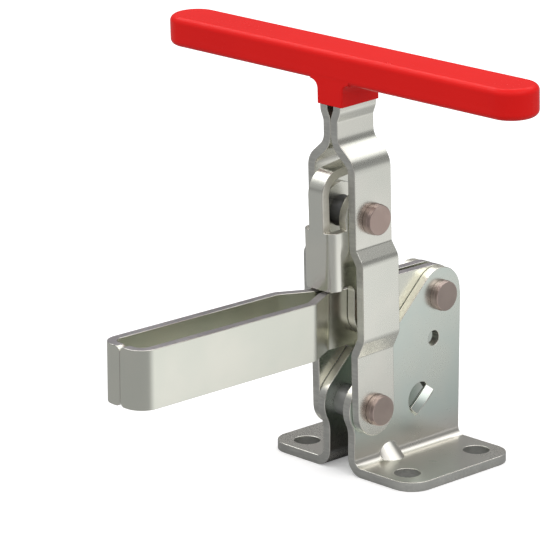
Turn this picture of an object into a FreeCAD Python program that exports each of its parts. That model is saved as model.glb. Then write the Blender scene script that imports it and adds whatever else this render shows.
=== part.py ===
import FreeCAD
import Part

import math
import os

# Vertical toggle clamp with a T-handle: two L-shaped base plates, a two-plate rocking handle,
# a folded link and a two-piece U-bar arm on four cross pins.
# Frame: +Z up, z = 0 on the underside of the feet, the arm points to -Y, the grip lies along X,
# the mid-plane is x = 0 and the origin is the centre of the bolt pattern. Sizes in millimetres.

# Stock and fits
SHEET = 2.6               # thickness of every stamped plate
PIN_R = 4.1               # radius of the four cross pins
BORE_PLAY = 0.05          # radial play of a plate that turns on a pin
SIDE_PLAY = 0.1           # side play between plates that slide past each other
PIN_END = 2.5             # how far a pin stands out of the plate it goes through
RIVET_END = 2.3           # the same for the low link rivet, which the handle plates pass over
COLLAR_R = 4.25           # swaged collar at the root of a pin end
COLLAR_LENGTH = 1.4
PIN_CHAMFER = 0.15
PIN_SHOULDER_R = 4.35     # middle of the handle pivot pin, which keeps the uprights apart

# Base plates
BASE_GAP = 6.8            # clear width between the two uprights
FOOT_REACH = 27.4         # from the mid-plane to the outer edge of a foot
BASE_HALF_DEPTH = 20.5    # the feet and the uprights reach this far fore and aft
FOOT_BEND_R = 2.3         # inside radius of the bend from upright to foot
FOOT_CORNER_R = 6.5
BOLT_HALF_X = 19.05
BOLT_INSET = 6.9          # from a foot's end to its bolt holes
BOLT_HALF_Y = BASE_HALF_DEPTH - BOLT_INSET
BOLT_R = 3.55
TOP_LOBE_R = 7.7          # round top of the uprights about the arm pivot
NOSE_R = 7.7              # round nose about the handle pivot
NOSE_BLEND_R = 8.0        # hollow blend from the nose to the front edge
PEEP_INSET = 10.5         # from the rear edge to the peep hole
PEEP_HOLE = (BASE_HALF_DEPTH - PEEP_INSET, 32.4)
PEEP_HOLE_R = 2.1
WINDOW_INSET = 15.6       # from the rear edge to the lanced window
WINDOW = (BASE_HALF_DEPTH - WINDOW_INSET, 16.4)     # centre of its round side
WINDOW_R = 4.5
WINDOW_TILT = 37.8        # degrees from level of the lanced tab's root line
TAB_WIDTH = 8.5
TAB_OFFSET = 0.95         # the tab sits this far up its root line from the window's centre
TAB_ROOT = 2.93           # from the window's centre to the tab's root line
TAB_BEND = 60.0           # degrees that the tab is folded inwards
TAB_TIP = 0.4             # flat length past the tab's bend
TAB_BEND_R = 0.3
GUSSET_INSET = 12.1       # from the front edge to the stiffening crease across each foot bend
GUSSET_Y = GUSSET_INSET - BASE_HALF_DEPTH
GUSSET_R = 2.8
GUSSET_LEG = 4.2

# Pivot centres at rest, clamp closed (Y, Z)
HANDLE_PIVOT_INSET = 5.6
ARM_PIVOT_INSET = 7.9
TOP_PIN_FORE = 1.8        # the link's top pin lies this far ahead of the handle pivot
LOW_PIN_AFT = 0.9         # and its low pin this far behind it
HANDLE_PIVOT = (HANDLE_PIVOT_INSET - BASE_HALF_DEPTH, 18.4)
ARM_PIVOT = (BASE_HALF_DEPTH - ARM_PIVOT_INSET, 44.2)
LINK_TOP_PIVOT = (HANDLE_PIVOT[0] - TOP_PIN_FORE, 71.8)
LINK_LOW_PIVOT = (HANDLE_PIVOT[0] + LOW_PIN_AFT, 45.5)

# Handle plates, in the handle's own frame: h up its centre line from the handle pivot, x outwards
HANDLE_TILT = 1.93        # degrees that the closed handle leans towards the arm
HANDLE_WIDTH = 13.7
HANDLE_DROP = 0.5         # the round low end is centred this far below the pivot
JOG = 2.45                # outward set that clears the link pin and the arm rivet
JOG_LOW = (16.1, 21.0)
JOG_HIGH = (42.4, 46.0)
NECK = (69.2, 74.4)       # the plates close on each other between these heights
BEAD = (80.0, 82.6)       # the plates open again below the grip
BEAD_GAP_HALF = 1.1
TANG_WIDTH = 10.0
TANG_TOP = 95.5

# Grip
STEM_BASE = 84.2
BAR_BASE = 90.4
BAR_HEIGHT = 8.3
BAR_LENGTH = 130.0
BAR_WIDTH = 14.2
BAR_EDGE_R = 1.7
STEM_HALF = 4.6
STEM_FILLET_R = 2.4

# Link: one folded channel, web to the front, with a centre tongue over the top pin
LINK_LEAN = 2.6           # degrees that the web leans towards the arm
LINK_FORE = 14.25         # from the handle pivot forward to the web's front face at WEB_MID height
LINK_FRONT = HANDLE_PIVOT[0] - LINK_FORE
WEB_MID = 61.0
WEB_BASE = 52.85
WEB_TOP = 69.0
LINK_BEND_R = 0.6         # inside radius of the two folds
LINK_TOP_R = 7.8          # flange lobe round the top pin
LINK_LOW_R = 7.0          # flange lobe round the low pin
LINK_WAIST = 0.9          # the rear edge lies this far inside the two lobes
CHEEK_BLEND_R = 2.2       # hollow corner between the flange's lower edge and its front edge
CHEEK_BASE = 53.6         # lower edge of the flanges in front of the low lobe
TONGUE_WIDTH = 5.3
TONGUE_TOP = 84.75
TONGUE_BEND_R = 4.2
TONGUE_BACK = 16.5        # from the web's front to the tongue's rear end
TONGUE_RISE = 4.9         # degrees that the tongue climbs to the rear

# Arm
ARM_BASE = 36.6
ARM_TOP = 52.6
ARM_OUTER_HALF = 7.95
ARM_REACH = 84.7          # from the handle pivot to the nose
ARM_NOSE = HANDLE_PIVOT[0] - ARM_REACH
ARM_NOSE_R = 5.3          # outside radius of the nose corner
JOG_START, JOG_END = 8.2, 0.95
ARM_JOG = (LINK_FRONT - JOG_START, LINK_FRONT + JOG_END)   # the walls close in between these places
ARM_TAIL_R = 7.9
ARM_BELLY_R = 11.3        # extra depth below the link pin
SEAM_PLAY = 0.05          # half the slit between the two nose ends
SEAM_CORNER_R = 1.5
BUSH_WALL = 1.4


def vec(x, y, z):
    """A FreeCAD vector."""
    return FreeCAD.Vector(x, y, z)


def corner(before, point, after, radius):
    """Start, middle and end of the arc that rounds a corner, as 2-D points."""
    d1 = (before[0] - point[0], before[1] - point[1])
    d2 = (after[0] - point[0], after[1] - point[1])
    n1, n2 = math.hypot(*d1), math.hypot(*d2)
    d1, d2 = (d1[0] / n1, d1[1] / n1), (d2[0] / n2, d2[1] / n2)
    half = math.acos(max(-1.0, min(1.0, d1[0] * d2[0] + d1[1] * d2[1]))) / 2
    reach = radius / math.tan(half)
    mid = (d1[0] + d2[0], d1[1] + d2[1])
    norm = math.hypot(*mid)
    deep = radius / math.sin(half) - radius
    return ((point[0] + d1[0] * reach, point[1] + d1[1] * reach),
            (point[0] + mid[0] / norm * deep, point[1] + mid[1] / norm * deep),
            (point[0] + d2[0] * reach, point[1] + d2[1] * reach))


def rounded_edges(points, radii, place, closed):
    """Line and arc edges through 2-D points, each corner rounded by its radius (0 is sharp)."""
    count = len(points)
    runs = []
    for i, point in enumerate(points):
        inside = closed or 0 < i < count - 1
        if inside and radii[i] > 0:
            runs.append(corner(points[i - 1], point, points[(i + 1) % count], radii[i]))
        else:
            runs.append((point,))
    edges = []
    for i, run in enumerate(runs):
        if len(run) == 3:
            edges.append(Part.Arc(*[place(*p) for p in run]).toShape())
        if i + 1 < count or closed:
            start, end = run[-1], runs[(i + 1) % count][0]
            if math.dist(start, end) > 1e-6:
                edges.append(Part.LineSegment(place(*start), place(*end)).toShape())
    return edges


def outline_prism(points, radii, place, travel):
    """A closed rounded outline swept straight along a vector."""
    wire = Part.Wire(Part.__sortEdges__(rounded_edges(points, radii, place, True)))
    return Part.Face(wire).extrude(travel)


def offset_left(path, distance):
    """The 2-D path moved to its left by a distance, with mitred corners."""
    normals = []
    for start, end in zip(path, path[1:]):
        length = math.dist(start, end)
        normals.append((-(end[1] - start[1]) / length, (end[0] - start[0]) / length))
    moved = [(path[0][0] + normals[0][0] * distance, path[0][1] + normals[0][1] * distance)]
    for i in range(1, len(path) - 1):
        m, n = normals[i - 1], normals[i]
        scale = distance / (1 + m[0] * n[0] + m[1] * n[1])
        moved.append((path[i][0] + (m[0] + n[0]) * scale, path[i][1] + (m[1] + n[1]) * scale))
    moved.append((path[-1][0] + normals[-1][0] * distance, path[-1][1] + normals[-1][1] * distance))
    return moved


def turn(before, point, after):
    """+1 where the 2-D path turns left at a point, -1 where it turns right."""
    cross = ((point[0] - before[0]) * (after[1] - point[1])
             - (point[1] - before[1]) * (after[0] - point[0]))
    return 1 if cross > 0 else -1


def folded_sheet(path, radii, place, travel):
    """A bent strip of sheet: the face that the path gives, its thickness to the left of it."""
    inner = offset_left(path, SHEET)
    inner_radii = [0] * len(path)
    for i in range(1, len(path) - 1):
        inner_radii[i] = radii[i] - SHEET * turn(path[i - 1], path[i], path[i + 1])
    edges = rounded_edges(path, radii, place, False) + rounded_edges(inner, inner_radii, place, False)
    edges.append(Part.LineSegment(place(*path[0]), place(*inner[0])).toShape())
    edges.append(Part.LineSegment(place(*path[-1]), place(*inner[-1])).toShape())
    wire = Part.Wire(Part.__sortEdges__(edges))
    return Part.Face(wire).extrude(travel)


def rod(centre, radius, x_from, x_to):
    """A cylinder along X about a (Y, Z) centre."""
    return Part.makeCylinder(radius, x_to - x_from, vec(x_from, centre[0], centre[1]), vec(1, 0, 0))


def mirrored(shape):
    """The same piece on the other side of the mid-plane."""
    return shape.mirror(vec(0, 0, 0), vec(1, 0, 0))


def merged(shape, *others):
    """Union of touching solids with their seams removed."""
    for other in others:
        shape = shape.fuse(other)
    return shape.removeSplitter()


def outside_tangent(first, first_r, second, second_r, side):
    """Touching points of the line that lies along one side of two circles."""
    dy, dz = second[0] - first[0], second[1] - first[1]
    span = math.hypot(dy, dz)
    along = math.atan2(dz, dy)
    lean = along + side * math.acos((first_r - second_r) / span)
    reach = (math.cos(lean), math.sin(lean))
    return ((first[0] + reach[0] * first_r, first[1] + reach[1] * first_r),
            (second[0] + reach[0] * second_r, second[1] + reach[1] * second_r))


# Widths across the clamp, each worked out from the one inside it
BASE_INNER = BASE_GAP / 2
BASE_OUTER = BASE_INNER + SHEET
HANDLE_INNER = BASE_OUTER + SIDE_PLAY
HANDLE_OUTER = HANDLE_INNER + SHEET
HANDLE_WIDE = HANDLE_OUTER + JOG
LINK_OUTER = HANDLE_INNER - SIDE_PLAY / 2
LINK_INNER = LINK_OUTER - SHEET
ARM_TAIL_HALF = BASE_INNER - SIDE_PLAY


def upright_outline():
    """Side view of an upright: feet level to the round top, down the slope to the round nose."""
    y0, y1 = -BASE_HALF_DEPTH, BASE_HALF_DEPTH
    c, b = HANDLE_PIVOT, ARM_PIVOT
    low, high = outside_tangent(c, NOSE_R, b, TOP_LOBE_R, 1)
    blend_y = y0 - NOSE_BLEND_R
    blend_z = c[1] - math.sqrt((NOSE_R + NOSE_BLEND_R) ** 2 - (blend_y - c[0]) ** 2)
    share = NOSE_R / (NOSE_R + NOSE_BLEND_R)
    touch = (c[0] + (blend_y - c[0]) * share, c[1] + (blend_z - c[1]) * share)
    hollow = math.atan2(touch[1] - blend_z, touch[0] - blend_y) / 2

    def on(centre, radius, angle):
        return vec(0, centre[0] + radius * math.cos(angle), centre[1] + radius * math.sin(angle))

    rear = vec(0, b[0] + TOP_LOBE_R, b[1])
    top_mid = on(b, TOP_LOBE_R, math.atan2(high[1] - b[1], high[0] - b[0]) / 2)
    nose_start = math.atan2(low[1] - c[1], low[0] - c[0])
    nose_end = math.atan2(touch[1] - c[1], touch[0] - c[0]) + 2 * math.pi
    nose_mid = on(c, NOSE_R, (nose_start + nose_end) / 2)
    hollow_mid = on((blend_y, blend_z), NOSE_BLEND_R, hollow)
    high, low, touch = vec(0, *high), vec(0, *low), vec(0, *touch)
    front = vec(0, y0, blend_z)
    shoulder = vec(0, y1, b[1] - (y1 - rear.y) * 4)
    foot_rear, foot_front = vec(0, y1, 0), vec(0, y0, 0)
    edges = [
        Part.makeLine(foot_front, foot_rear),
        Part.makeLine(foot_rear, shoulder),
        Part.makeLine(shoulder, rear),
        Part.Arc(rear, top_mid, high).toShape(),
        Part.makeLine(high, low),
        Part.Arc(low, nose_mid, touch).toShape(),
        Part.Arc(touch, hollow_mid, front).toShape(),
        Part.makeLine(front, foot_front),
    ]
    return Part.Face(Part.Wire(edges))


def tab_point(along, across):
    """A (Y, Z) place near the window: along the tab's root line and away from it."""
    a = math.radians(WINDOW_TILT)
    s, n = along + TAB_OFFSET, across - TAB_ROOT
    return (WINDOW[0] + s * math.cos(a) - n * math.sin(a), WINDOW[1] + s * math.sin(a) + n * math.cos(a))


def window_cut():
    """The lanced window: a round side and a straight root for the tab."""
    half = TAB_WIDTH / 2
    corners = [tab_point(-half, 0), tab_point(half, 0), tab_point(half, TAB_ROOT + 0.7),
               tab_point(-half, TAB_ROOT + 0.7)]
    reach = 2 * WINDOW_R
    above = [tab_point(-reach, 0), tab_point(reach, 0), tab_point(reach, reach), tab_point(-reach, reach)]
    through = vec(SHEET + 2, 0, 0)

    def place(y, z):
        return vec(BASE_INNER - 1, y, z)

    disc = rod(WINDOW, WINDOW_R, BASE_INNER - 1, BASE_OUTER + 1)
    disc = disc.common(outline_prism(above, [0] * 4, place, through))
    return disc.fuse(outline_prism(corners, [0, 0, 0.8, 0.8], place, through))


def lanced_tab():
    """The tab cut from the window and folded in towards the mid-plane."""
    outer_r = SHEET + TAB_BEND_R
    root = tab_point(-TAB_WIDTH / 2, 0)
    a = math.radians(WINDOW_TILT)
    sweep = math.radians(TAB_BEND)

    def place(across, x):
        return vec(x, root[0] - across * math.sin(a), root[1] + across * math.cos(a))

    centre_x = BASE_OUTER - outer_r

    def ring(radius, angle):
        return place(radius * math.sin(angle), centre_x + radius * math.cos(angle))

    def tip(radius):
        return place(radius * math.sin(sweep) + TAB_TIP * math.cos(sweep),
                     centre_x + radius * math.cos(sweep) - TAB_TIP * math.sin(sweep))

    edges = [
        Part.Arc(ring(outer_r, 0), ring(outer_r, sweep / 2), ring(outer_r, sweep)).toShape(),
        Part.makeLine(ring(outer_r, sweep), tip(outer_r)),
        Part.makeLine(tip(outer_r), tip(TAB_BEND_R)),
        Part.makeLine(tip(TAB_BEND_R), ring(TAB_BEND_R, sweep)),
        Part.Arc(ring(TAB_BEND_R, sweep), ring(TAB_BEND_R, sweep / 2), ring(TAB_BEND_R, 0)).toShape(),
        Part.makeLine(ring(TAB_BEND_R, 0), ring(outer_r, 0)),
    ]
    face = Part.Face(Part.Wire(edges))
    return face.extrude(vec(0, TAB_WIDTH * math.cos(a), TAB_WIDTH * math.sin(a)))


def foot_gusset():
    """A short crease pressed across the foot bend, from upright to foot."""
    leg = GUSSET_LEG
    corners = [(BASE_OUTER - 0.6, SHEET - 0.6), (BASE_OUTER + leg, SHEET - 0.6), (BASE_OUTER + leg, SHEET),
               (BASE_OUTER, SHEET + leg), (BASE_OUTER - 0.6, SHEET + leg)]
    wedge = outline_prism(corners, [0] * 5, lambda x, z: vec(x, GUSSET_Y - GUSSET_R, z),
                          vec(0, 2 * GUSSET_R, 0))
    sunk = GUSSET_R * math.sqrt(0.5)
    ridge_at = vec(BASE_OUTER - 2 - sunk, GUSSET_Y, SHEET + leg + 2 - sunk)
    ridge = Part.makeCylinder(GUSSET_R, 1.5 * leg + 6, ridge_at, vec(1, 0, -1))
    return wedge.common(ridge)


def pin_with_shoulder(centre, x_root, stand_out):
    """A whole pin whose thicker middle keeps the uprights apart."""
    middle = rod(centre, PIN_SHOULDER_R, -BASE_INNER, BASE_INNER)
    return merged(whole_pin(centre, x_root, stand_out), middle)


def base_plate():
    """The right-hand L-shaped plate: upright, bend, foot with two bolt holes, window and tab."""
    bend_r = FOOT_BEND_R + SHEET
    tall = ARM_PIVOT[1] + TOP_LOBE_R + 5
    reach = 2 * BASE_HALF_DEPTH + NOSE_R + NOSE_BLEND_R
    path = [(BASE_INNER, tall), (BASE_INNER, 0), (FOOT_REACH, 0)]
    sheet = folded_sheet(path, [0, bend_r, 0], lambda x, z: vec(x, -reach / 2, z), vec(0, reach, 0))
    side = upright_outline().extrude(vec(FOOT_REACH + 1, 0, 0))
    plate = merged(sheet.common(side), foot_gusset())
    for sign in (-1, 1):
        round_y = sign * (BASE_HALF_DEPTH - FOOT_CORNER_R)
        round_x = FOOT_REACH - FOOT_CORNER_R
        block_y = round_y if sign > 0 else round_y - FOOT_CORNER_R - 1
        block = Part.makeBox(FOOT_CORNER_R + 1, FOOT_CORNER_R + 1, SHEET + 2, vec(round_x, block_y, -1))
        disc = Part.makeCylinder(FOOT_CORNER_R, SHEET + 2, vec(round_x, round_y, -1))
        bolt = Part.makeCylinder(BOLT_R, SHEET + 2, vec(BOLT_HALF_X, sign * BOLT_HALF_Y, -1))
        plate = plate.cut(block.cut(disc)).cut(bolt)
    for centre, radius in ((HANDLE_PIVOT, PIN_R), (ARM_PIVOT, PIN_R), (PEEP_HOLE, PEEP_HOLE_R)):
        plate = plate.cut(rod(centre, radius, BASE_INNER - 1, BASE_OUTER + 1))
    return merged(plate.cut(window_cut()), lanced_tab())


def pin_end(centre, x_from, x_root, x_end):
    """Pin from x_from through a plate whose outside is x_root, with a swaged end to x_end."""
    shank = rod(centre, PIN_R, x_from, x_end - PIN_CHAMFER)
    collar = rod(centre, COLLAR_R, x_root, x_root + COLLAR_LENGTH)
    tip = Part.makeCone(PIN_R, PIN_R - PIN_CHAMFER, PIN_CHAMFER, vec(x_end - PIN_CHAMFER, *centre),
                        vec(1, 0, 0))
    return merged(shank, collar, tip)


def whole_pin(centre, x_root, stand_out):
    """A cross pin from side to side, with both ends swaged outside x_root."""
    end = pin_end(centre, 0, x_root, x_root + stand_out)
    return merged(end, mirrored(end))


def arm_rivet_end():
    """The right-hand end of the arm rivet, held in its upright."""
    return pin_end(ARM_PIVOT, BASE_INNER, BASE_OUTER, BASE_OUTER + PIN_END - SIDE_PLAY)


def set_in_handle(shape):
    """Put a piece drawn in the handle's own frame at its place in the closed clamp."""
    placed = shape.copy()
    placed.rotate(vec(0, 0, 0), vec(1, 0, 0), HANDLE_TILT)
    placed.translate(vec(0, *HANDLE_PIVOT))
    return placed


def handle_plate_blank():
    """The right-hand handle plate in the handle's own frame, from round foot to tang."""
    half = HANDLE_WIDTH / 2
    top = TANG_TOP
    tang_outer = BEAD_GAP_HALF + SHEET
    path = [(HANDLE_OUTER, -half - HANDLE_DROP), (HANDLE_OUTER, JOG_LOW[0]), (HANDLE_WIDE, JOG_LOW[1]),
            (HANDLE_WIDE, JOG_HIGH[0]), (HANDLE_OUTER, JOG_HIGH[1]), (HANDLE_OUTER, NECK[0]),
            (SHEET, NECK[1]), (SHEET, BEAD[0]), (tang_outer, BEAD[1]), (tang_outer, top)]
    tight, loose = 1.0, SHEET + 1.0
    radii = [0, tight, loose, loose, tight, SHEET + 3.4, 4.0, 2.0, loose, 0]
    sheet = folded_sheet(path, radii, lambda x, h: vec(x, -half, h), vec(0, HANDLE_WIDTH, 0))
    tang = TANG_WIDTH / 2
    side = [(-half, -HANDLE_DROP), (-half, STEM_BASE), (-tang, STEM_BASE), (-tang, top), (tang, top),
            (tang, STEM_BASE), (half, STEM_BASE), (half, -HANDLE_DROP)]
    across = vec(HANDLE_WIDE + 2, 0, 0)
    blank = outline_prism(side, [0] * 8, lambda w, h: vec(-1, w, h), across)
    blank = merged(blank, Part.makeCylinder(half, HANDLE_WIDE + 2, vec(-1, 0, -HANDLE_DROP), vec(1, 0, 0)))
    return sheet.common(blank)


def handle_plate():
    """The right-hand handle plate with its two pin holes, in place."""
    plate = set_in_handle(handle_plate_blank())
    plate = plate.cut(rod(HANDLE_PIVOT, PIN_R + BORE_PLAY, 0, HANDLE_WIDE + 1))
    return plate.cut(rod(LINK_TOP_PIVOT, PIN_R, 0, HANDLE_WIDE + 1))


def grip():
    """The moulded T-handle over the two tangs, in place."""
    half_l, half_w = BAR_LENGTH / 2, BAR_WIDTH / 2
    plan = [(-half_l, -half_w), (half_l, -half_w), (half_l, half_w), (-half_l, half_w)]
    end_r = half_w - 0.01
    bar = outline_prism(plan, [end_r] * 4, lambda x, w: vec(x, w, BAR_BASE), vec(0, 0, BAR_HEIGHT))
    bar = bar.makeFillet(BAR_EDGE_R, [e for e in bar.Edges if abs(e.tangentAt(e.FirstParameter).z) < 0.5])
    stem_edge = STEM_HALF + STEM_FILLET_R
    rise = BAR_BASE + BAR_EDGE_R
    front = [(-STEM_HALF, STEM_BASE), (STEM_HALF, STEM_BASE), (STEM_HALF, BAR_BASE), (stem_edge, BAR_BASE),
             (stem_edge, rise), (-stem_edge, rise), (-stem_edge, BAR_BASE), (-STEM_HALF, BAR_BASE)]
    radii = [0, 0, STEM_FILLET_R * 0.98, 0, 0, 0, 0, STEM_FILLET_R * 0.98]
    stem_w = half_w - 0.05
    stem = outline_prism(front, radii, lambda x, h: vec(x, -stem_w, h), vec(0, 2 * stem_w, 0))
    upright = [e for e in stem.Edges if abs(e.tangentAt(e.FirstParameter).z) > 0.9
               and e.CenterOfMass.z < BAR_BASE]
    stem = stem.makeFillet(0.5, upright)
    body = merged(bar, stem)
    plate = handle_plate_blank()
    return set_in_handle(body.cut(plate).cut(mirrored(plate)))


def link_cheek():
    """The right-hand flange of the link: two round ends and the run up to the web."""
    a, x = LINK_TOP_PIVOT, LINK_LOW_PIVOT
    front_a = outside_tangent(a, LINK_TOP_R, x, LINK_LOW_R, -1)[0]
    front_y = x[0] - LINK_LOW_R
    hollow = (front_y, CHEEK_BASE)
    rear_a, rear_x = outside_tangent(a, LINK_TOP_R - LINK_WAIST, x, LINK_LOW_R - LINK_WAIST, 1)

    def place(y, z):
        return vec(LINK_INNER, y, z)

    across = vec(SHEET, 0, 0)
    strap = outline_prism([front_a, (front_y, CHEEK_BASE + SHEET), (front_y, x[1]), rear_x, rear_a],
                          [0] * 5, place, across)
    web_back = LINK_FRONT + SHEET + LINK_BEND_R
    run = [(web_back, CHEEK_BASE), (a[0], CHEEK_BASE), (a[0], WEB_TOP), (web_back, WEB_TOP)]
    front = leaned(outline_prism(run, [0, 0, 0, 0], place, across))
    top = rod(a, LINK_TOP_R, LINK_INNER, LINK_OUTER)
    low = rod(x, LINK_LOW_R, LINK_INNER, LINK_OUTER)
    cheek = merged(strap, front, top, low)

    def miss(edge):
        return math.dist((edge.CenterOfMass.y, edge.CenterOfMass.z), hollow)

    across_edges = [e for e in cheek.Edges if abs(e.tangentAt(e.FirstParameter).x) > 0.99]
    return cheek.makeFillet(CHEEK_BLEND_R, [min(across_edges, key=miss)])


def leaned(shape):
    """Lean a piece of the link, drawn upright, towards the arm."""
    placed = shape.copy()
    placed.rotate(vec(0, LINK_FRONT, WEB_MID), vec(1, 0, 0), LINK_LEAN)
    return placed


def link():
    """The folded link: web, two flanges and the tongue that curls over the top pin."""
    bend_r = LINK_BEND_R + SHEET
    back = LINK_FRONT + bend_r + 0.4
    path = [(-LINK_OUTER, back), (-LINK_OUTER, LINK_FRONT), (LINK_OUTER, LINK_FRONT), (LINK_OUTER, back)]
    web = folded_sheet(path, [0, bend_r, bend_r, 0], lambda x, y: vec(x, y, WEB_BASE),
                       vec(0, 0, WEB_TOP - WEB_BASE))
    rise = math.tan(math.radians(TONGUE_RISE)) * TONGUE_BACK
    curl = [(LINK_FRONT + TONGUE_BACK, TONGUE_TOP + rise), (LINK_FRONT, TONGUE_TOP),
            (LINK_FRONT, WEB_TOP - 1)]
    tongue = folded_sheet(curl, [0, TONGUE_BEND_R + SHEET, 0],
                          lambda y, z: vec(-TONGUE_WIDTH / 2, y, z), vec(TONGUE_WIDTH, 0, 0))
    cheek = link_cheek()
    body = merged(leaned(web), leaned(tongue), cheek, mirrored(cheek))
    body = body.cut(rod(LINK_TOP_PIVOT, PIN_R + BORE_PLAY, -LINK_OUTER - 1, LINK_OUTER + 1))
    return body.cut(rod(LINK_LOW_PIVOT, PIN_R, -LINK_OUTER - 1, LINK_OUTER + 1))


def arm_side():
    """Side view of an arm wall as a prism: level bar, round tail and the belly at the link pin."""
    b, x = ARM_PIVOT, LINK_LOW_PIVOT
    wide = ARM_OUTER_HALF + 1
    top_r, low_r = ARM_TOP - b[1], b[1] - ARM_BASE
    nose_top, nose_low = (ARM_NOSE, ARM_TOP), (ARM_NOSE, ARM_BASE)
    upper = outside_tangent(nose_top, 0, b, min(ARM_TAIL_R, top_r), 1)[1]
    lower = outside_tangent(nose_low, 0, b, min(ARM_TAIL_R, low_r), -1)[1]
    bar = outline_prism([nose_top, upper, b, lower, nose_low], [0] * 5,
                        lambda y, z: vec(-1, y, z), vec(wide + 1, 0, 0))
    tail = rod(b, min(ARM_TAIL_R, top_r), -1, wide)
    belly = rod(x, ARM_BELLY_R, -1, wide)
    keep = Part.makeBox(wide + 2, 4 * ARM_BELLY_R, ARM_BELLY_R, vec(-1, x[0] - 2 * ARM_BELLY_R,
                                                                   x[1] - ARM_BELLY_R))
    return merged(bar, tail, belly.common(keep))


def arm_wall():
    """The right-hand half of the U-bar, from its half of the nose to the round tail."""
    tail_end = ARM_PIVOT[0] + ARM_TAIL_R + 2
    path = [(SEAM_PLAY, ARM_NOSE), (ARM_OUTER_HALF, ARM_NOSE), (ARM_OUTER_HALF, ARM_JOG[0]),
            (ARM_TAIL_HALF, ARM_JOG[1]), (ARM_TAIL_HALF, tail_end)]
    radii = [0, ARM_NOSE_R, SHEET + 2.0, 3.0, 0]
    low = LINK_LOW_PIVOT[1] - ARM_BELLY_R - 1
    sheet = folded_sheet(path, radii, lambda x, y: vec(x, y, low), vec(0, 0, ARM_TOP - low + 1))
    wall = sheet.common(arm_side())
    for centre in (ARM_PIVOT, LINK_LOW_PIVOT):
        wall = wall.cut(rod(centre, PIN_R + BUSH_WALL, -1, ARM_OUTER_HALF + 1))
    for level, way in ((ARM_TOP, -1), (ARM_BASE, 1)):
        block_z = min(level, level + way * SEAM_CORNER_R)
        block = Part.makeBox(SEAM_CORNER_R, SHEET + 2, SEAM_CORNER_R, vec(SEAM_PLAY, ARM_NOSE - 1, block_z))
        disc = Part.makeCylinder(SEAM_CORNER_R, SHEET + 2, vec(SEAM_PLAY + SEAM_CORNER_R, ARM_NOSE - 1,
                                                             level + way * SEAM_CORNER_R), vec(0, 1, 0))
        wall = wall.cut(block.cut(disc))
    return wall


def arm_bush(centre, bore_r):
    """A hardened sleeve through both arm walls."""
    sleeve = rod(centre, PIN_R + BUSH_WALL, -ARM_TAIL_HALF, ARM_TAIL_HALF)
    return sleeve.cut(rod(centre, bore_r, -ARM_TAIL_HALF - 1, ARM_TAIL_HALF + 1))


def build():
    """Every piece of the clamp by its node name."""
    plate = base_plate()
    half_handle = handle_plate()
    wall = arm_wall()
    rivet = arm_rivet_end()
    return {
        "base_plate_right": plate,
        "base_plate_left": mirrored(plate),
        "handle_pivot_pin": pin_with_shoulder(HANDLE_PIVOT, HANDLE_OUTER, PIN_END),
        "arm_rivet_right": rivet,
        "arm_rivet_left": mirrored(rivet),
        "handle_plate_right": half_handle,
        "handle_plate_left": mirrored(half_handle),
        "grip": grip(),
        "link_top_pin": whole_pin(LINK_TOP_PIVOT, HANDLE_OUTER, PIN_END),
        "link": link(),
        "link_low_pin": whole_pin(LINK_LOW_PIVOT, LINK_OUTER, RIVET_END),
        "arm_right": wall,
        "arm_left": mirrored(wall),
        "arm_front_bush": arm_bush(LINK_LOW_PIVOT, PIN_R + BORE_PLAY),
        "arm_rear_bush": arm_bush(ARM_PIVOT, PIN_R),
        "arm_rivet_core": rod(ARM_PIVOT, PIN_R, -ARM_TAIL_HALF, ARM_TAIL_HALF),
    }


os.makedirs("parts", exist_ok=True)
for name, solid in build().items():
    box = solid.BoundBox
    print("%-20s solids %d valid %s volume %9.1f  x %.2f..%.2f y %.2f..%.2f z %.2f..%.2f" % (
        name, len(solid.Solids), solid.isValid(), solid.Volume,
        box.XMin, box.XMax, box.YMin, box.YMax, box.ZMin, box.ZMax))
    solid.exportStep("parts/" + name + ".step")
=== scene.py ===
import logging
import math
from dataclasses import dataclass, field
from enum import Enum
from typing import Callable

import bmesh
import bpy
from mathutils import Matrix, Vector
from mathutils.bvhtree import BVHTree


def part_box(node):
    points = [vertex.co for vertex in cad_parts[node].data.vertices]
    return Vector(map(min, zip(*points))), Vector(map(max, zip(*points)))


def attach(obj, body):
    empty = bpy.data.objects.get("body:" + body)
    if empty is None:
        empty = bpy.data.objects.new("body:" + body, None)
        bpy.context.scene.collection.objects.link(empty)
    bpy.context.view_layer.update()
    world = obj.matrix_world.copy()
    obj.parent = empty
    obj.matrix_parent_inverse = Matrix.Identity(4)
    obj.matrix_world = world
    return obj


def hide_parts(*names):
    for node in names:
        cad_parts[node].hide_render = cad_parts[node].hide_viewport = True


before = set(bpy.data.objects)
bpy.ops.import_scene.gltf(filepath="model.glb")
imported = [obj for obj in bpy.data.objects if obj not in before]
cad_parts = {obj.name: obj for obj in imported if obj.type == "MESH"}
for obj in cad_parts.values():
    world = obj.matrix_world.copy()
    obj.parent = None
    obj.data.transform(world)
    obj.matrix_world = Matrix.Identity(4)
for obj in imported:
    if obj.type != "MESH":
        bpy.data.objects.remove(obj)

# Looks of the vertical toggle clamp with its T-grip: stamped and plated steel sheet, turned pins and
# bushes, and a moulded vinyl grip. Lengths are in metres, colours are linear.

log = logging.getLogger("clamp")
MM = 0.001
STOCK = 2.6 * MM          # thickness of every stamped sheet
TOUCH = 0.01 * MM         # points nearer to a face than this count as lying on it
WELD = 0.002 * MM         # points of a solid nearer to each other than this are one
Colour = tuple[float, float, float]


class Work(Enum):
    """How a piece is made."""

    STAMPED = "stamped"
    TURNED = "turned"
    MOULDED = "moulded"


class Facing(Enum):
    """Which kind of surface a face of a stamped piece is; the value is its material slot."""

    SKIN = 0
    CUT = 1
    RIM = 2


class Turned(Enum):
    """Which kind of surface a face of a turned piece is; the value is its material slot."""

    SIDE = 0
    END = 1
    RIM = 2


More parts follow.
